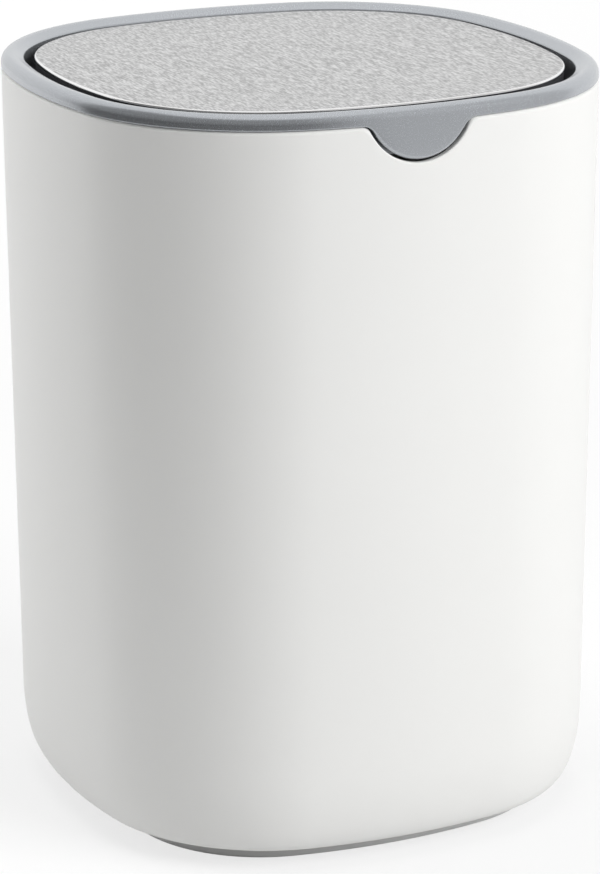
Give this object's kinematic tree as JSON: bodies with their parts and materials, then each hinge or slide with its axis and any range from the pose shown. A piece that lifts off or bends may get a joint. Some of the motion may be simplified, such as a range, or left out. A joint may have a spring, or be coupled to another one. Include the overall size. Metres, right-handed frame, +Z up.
{
  "type": "desktop trash bin",
  "caption": "Small rounded-square desktop trash bin with a lift-off frame and a counterweighted steel-topped flap that swings both ways.",
  "frame": {"origin": "on the floor at the middle of the foot ring, straight under the middle of the bin", "axes": "+Z up, the lift tab at the front towards -Y, the flap's pivot along X"},
  "size_m": [0.16, 0.16, 0.2166],
  "materials": {
    "shell_white": "satin white moulded plastic",
    "foot_grey": "soft light grey rubber",
    "frame_grey": "satin grey moulded plastic",
    "bush_plastic": "natural low-friction plastic",
    "steel_fixings": "zinc-plated steel",
    "brushed_plate": "brushed stainless steel, polished edge",
    "adhesive": "adhesive sheet",
    "tray_dark": "dark moulded plastic",
    "weight_steel": "plain steel block"
  },
  "bodies": {
    "bin": {"bin_shell": "shell_white", "foot_ring": "foot_grey"},
    "frame": {"lid_frame": "frame_grey", "left_bush": "bush_plastic", "right_bush": "bush_plastic", "left_bush_keeper": "frame_grey", "right_bush_keeper": "frame_grey", "keeper_screws": "steel_fixings"},
    "flap": {"steel_plate": "brushed_plate", "plate_bond": "adhesive", "flap_tray": "tray_dark", "left_pivot_pin": "steel_fixings", "right_pivot_pin": "steel_fixings", "left_pin_clamp": "tray_dark", "right_pin_clamp": "tray_dark", "pin_clamp_screws": "steel_fixings", "left_counterweight": "weight_steel", "right_counterweight": "weight_steel", "left_weight_cover": "tray_dark", "right_weight_cover": "tray_dark"}
  },
  "joints": [
    {"name": "lid_lift", "type": "slide", "parent": "bin", "child": "frame", "axis": [0, 0, 1], "range_m": [0, 0.06]},
    {"name": "flap_swing", "type": "hinge", "parent": "frame", "child": "flap", "pos_m": [0, 0, 0.2076], "axis": [1, 0, 0], "range_deg": [-71.67, 72.33]}
  ]
}
